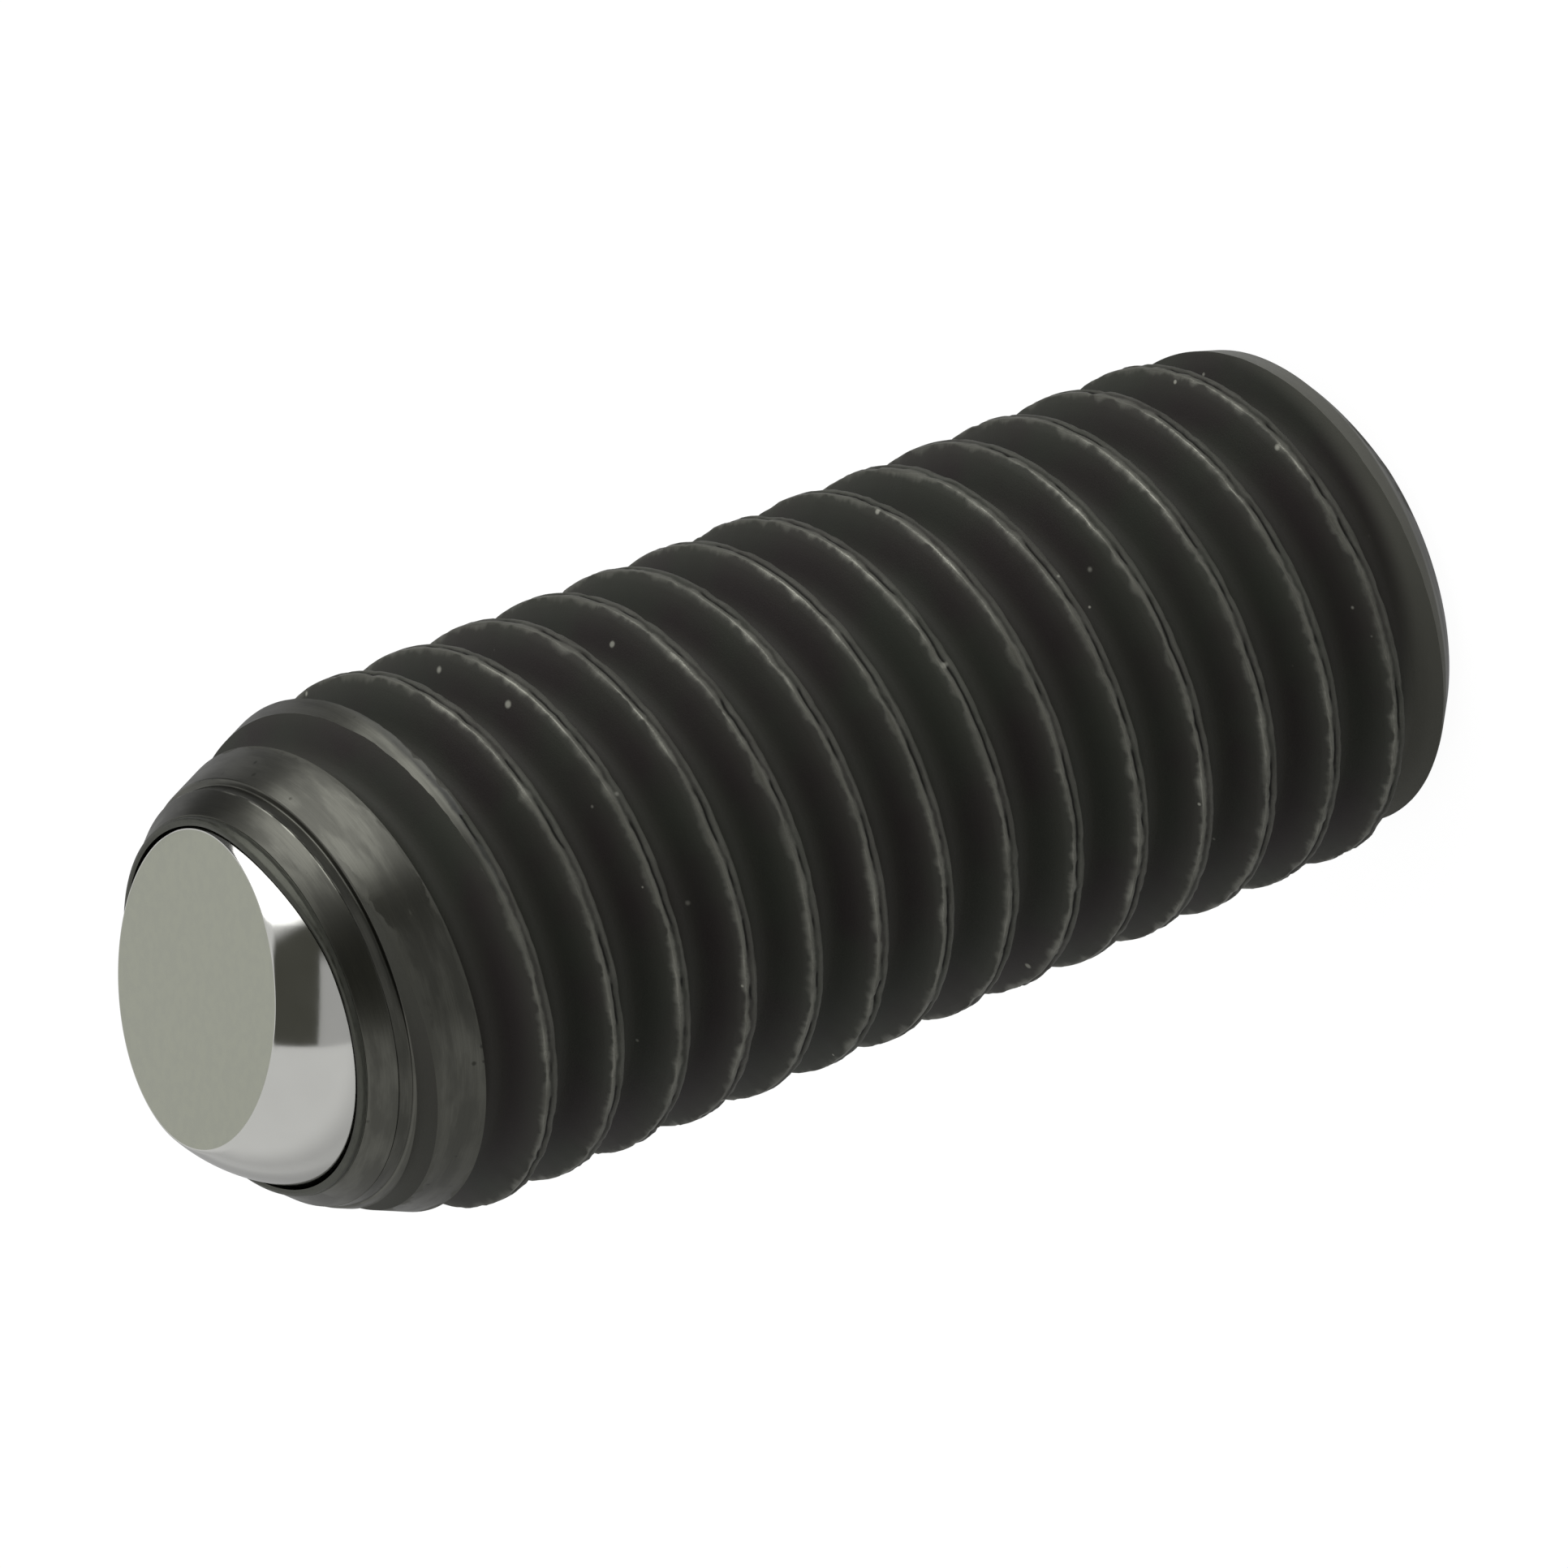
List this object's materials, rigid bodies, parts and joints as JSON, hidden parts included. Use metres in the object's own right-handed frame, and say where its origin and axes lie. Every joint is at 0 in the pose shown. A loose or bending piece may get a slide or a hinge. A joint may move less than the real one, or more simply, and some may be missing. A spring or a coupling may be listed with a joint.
{
  "type": "ball-ended set screw",
  "caption": "Headless threaded set screw with a flattened swivelling ball held in its rolled nose and a hexagon socket at the other end.",
  "frame": {"origin": "centre of the flat socket face at the screw's lower end", "axes": "+Z along the screw from the socket face to the ball; +X towards the side that the ball's flat leans to at rest"},
  "size_m": [0.0098, 0.0098, 0.026],
  "materials": {
    "body": "satin",
    "ball": "polished"
  },
  "bodies": {
    "screw": {"screw_body": "body"},
    "ball": {"swivel_ball": "ball"}
  },
  "joints": [
    {"name": "ball_tilt", "type": "hinge", "parent": "screw", "child": "ball", "pos_m": [0, 0, 0.0231], "axis": [0, 1, 0], "range_deg": [-31.4, 0]}
  ]
}
